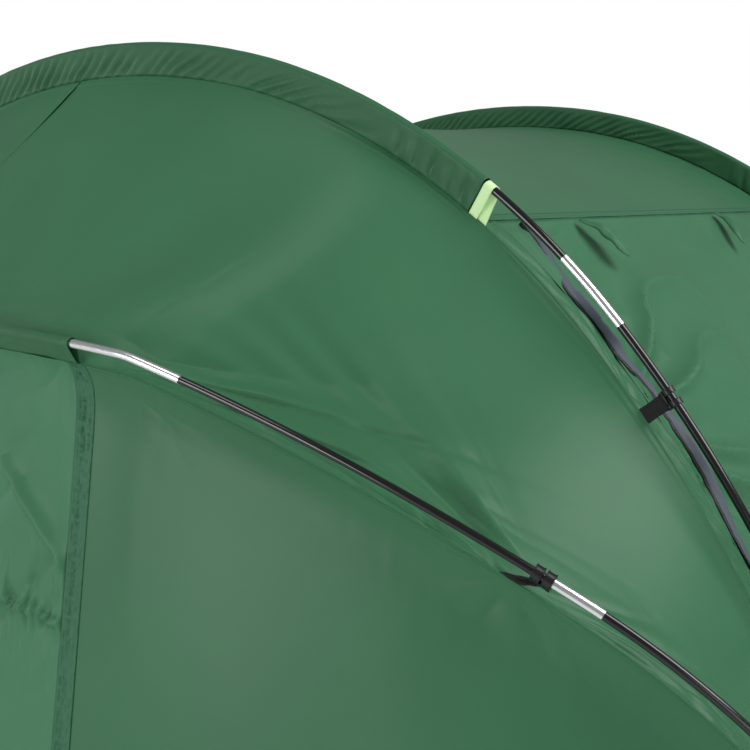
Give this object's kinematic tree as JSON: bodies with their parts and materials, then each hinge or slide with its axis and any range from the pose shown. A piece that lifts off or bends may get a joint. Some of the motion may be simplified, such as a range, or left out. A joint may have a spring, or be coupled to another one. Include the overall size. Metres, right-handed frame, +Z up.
{
  "type": "hoop tent",
  "caption": "Low hoop tent with sleeved and clipped bent poles, steel ferrules and elbows, a leaning porch hoop, a front door, side doors and zips.",
  "frame": {"origin": "on the ground under the front main hoop's feet, on the centre line, on the underside of the groundsheet", "axes": "+X to the right of someone looking in at the front door, +Y towards the back, +Z up"},
  "size_m": [2.7412, 2.1562, 1.2016],
  "materials": {
    "shell_cloth": "satin coated polyester, water-repellent",
    "door_cloth": "satin coated polyester, a little softer",
    "sleeve_cloth": "satin coated polyester, gathered",
    "floor_sheet": "woven polyethylene sheet",
    "pole_black": "gloss black glass-fibre rod",
    "bright_steel": "bright zinc-plated steel tube",
    "clip_black": "moulded black plastic",
    "webbing_black": "black flat webbing",
    "webbing_lime": "lime webbing",
    "zip_tape_grey": "grey zip tape with black coil",
    "zip_black": "black painted zinc"
  },
  "bodies": {
    "shelter": {"cabin_roof": "shell_cloth", "foot_pins": "bright_steel", "foot_webbing": "webbing_black", "front_clip_tabs": "webbing_black", "front_clips": "clip_black", "front_crown_pole": "pole_black", "front_ferrules": "bright_steel", "front_poles_left": "pole_black", "front_poles_right": "pole_black", "front_sleeve": "sleeve_cloth", "front_sleeve_loops": "webbing_lime", "front_wall_left": "shell_cloth", "front_wall_right": "shell_cloth", "front_zip_flaps": "door_cloth", "groundsheet": "floor_sheet", "porch_clip_tabs": "webbing_black", "porch_clips": "clip_black", "porch_crown_pole": "pole_black", "porch_elbows": "bright_steel", "porch_ferrules": "bright_steel", "porch_poles_left": "pole_black", "porch_poles_right": "pole_black", "porch_roof": "shell_cloth", "porch_sleeve": "sleeve_cloth", "rear_clip_tabs": "webbing_black", "rear_clips": "clip_black", "rear_crown_pole": "pole_black", "rear_ferrules": "bright_steel", "rear_poles_left": "pole_black", "rear_poles_right": "pole_black", "rear_roof": "shell_cloth", "rear_sleeve": "sleeve_cloth", "rear_sleeve_loops": "webbing_lime", "rear_wall": "shell_cloth", "side_jambs_left": "shell_cloth", "side_jambs_right": "shell_cloth", "side_zip_tapes_left": "zip_tape_grey", "side_zip_tapes_right": "zip_tape_grey", "tail_clip_tabs": "webbing_black", "tail_clips": "clip_black", "tail_crown_pole": "pole_black", "tail_elbows": "bright_steel", "tail_ferrules": "bright_steel", "tail_poles_left": "pole_black", "tail_poles_right": "pole_black", "tail_sleeve": "sleeve_cloth"},
    "front_door": {"front_door": "door_cloth"},
    "side_door_right": {"side_door_right": "door_cloth", "side_door_ties_right": "door_cloth"},
    "side_door_left": {"side_door_left": "door_cloth", "side_door_ties_left": "door_cloth"},
    "front_zip_slider_right": {"front_zip_slider_right": "zip_black"},
    "front_zip_pull_right": {"front_zip_pull_right": "zip_black"},
    "front_zip_slider_left": {"front_zip_slider_left": "zip_black"},
    "front_zip_pull_left": {"front_zip_pull_left": "zip_black"},
    "side_zip_slider_right": {"side_zip_slider_right": "zip_black"},
    "side_zip_pull_right": {"side_zip_pull_right": "zip_black"},
    "side_zip_slider_left": {"side_zip_slider_left": "zip_black"},
    "side_zip_pull_left": {"side_zip_pull_left": "zip_black"}
  },
  "joints": [
    {"name": "front_door_swing", "type": "hinge", "parent": "shelter", "child": "front_door", "pos_m": [0, -0.38001, 0.73368], "axis": [-1, 0, 0], "range_deg": [0, 105]},
    {"name": "side_door_swing_right", "type": "hinge", "parent": "shelter", "child": "side_door_right", "pos_m": [0.70992, 0.59769, 0.92362], "axis": [0.0232, -0.9996, -0.0177], "range_deg": [0, 95]},
    {"name": "side_door_swing_left", "type": "hinge", "parent": "shelter", "child": "side_door_left", "pos_m": [-0.70992, 0.59769, 0.92362], "axis": [0.0232, 0.9996, 0.0177], "range_deg": [0, 95]},
    {"name": "front_zip_slide_right", "type": "slide", "parent": "shelter", "child": "front_zip_slider_right", "axis": [0, 0.139, 0.9903], "range_m": [0, 0.6]},
    {"name": "front_zip_slide_left", "type": "slide", "parent": "shelter", "child": "front_zip_slider_left", "axis": [0, 0.139, 0.9903], "range_m": [0, 0.6]},
    {"name": "front_zip_pull_hinge_right", "type": "hinge", "parent": "front_zip_slider_right", "child": "front_zip_pull_right", "pos_m": [0.332, -0.46213, 0.03455], "axis": [-1, 0, 0], "range_deg": [0, 150]},
    {"name": "front_zip_pull_hinge_left", "type": "hinge", "parent": "front_zip_slider_left", "child": "front_zip_pull_left", "pos_m": [-0.332, -0.46213, 0.03455], "axis": [-1, 0, 0], "range_deg": [0, 150]},
    {"name": "side_zip_travel_right", "type": "hinge", "parent": "shelter", "child": "side_zip_slider_right", "pos_m": [-0.39136, 0.01307, -0.35474], "axis": [0, -0.9993, -0.0368], "range_deg": [0, 25]},
    {"name": "side_zip_travel_left", "type": "hinge", "parent": "shelter", "child": "side_zip_slider_left", "pos_m": [0.39136, 0.01307, -0.35474], "axis": [0, 0.9993, 0.0368], "range_deg": [0, 25]},
    {"name": "side_zip_pull_hinge_right", "type": "hinge", "parent": "side_zip_slider_right", "child": "side_zip_pull_right", "pos_m": [1.26607, 0.04014, 0.03545], "axis": [0, -0.9993, -0.0368], "range_deg": [0, 150]},
    {"name": "side_zip_pull_hinge_left", "type": "hinge", "parent": "side_zip_slider_left", "child": "side_zip_pull_left", "pos_m": [-1.26607, 0.04014, 0.03545], "axis": [0, 0.9993, 0.0368], "range_deg": [0, 150]}
  ]
}
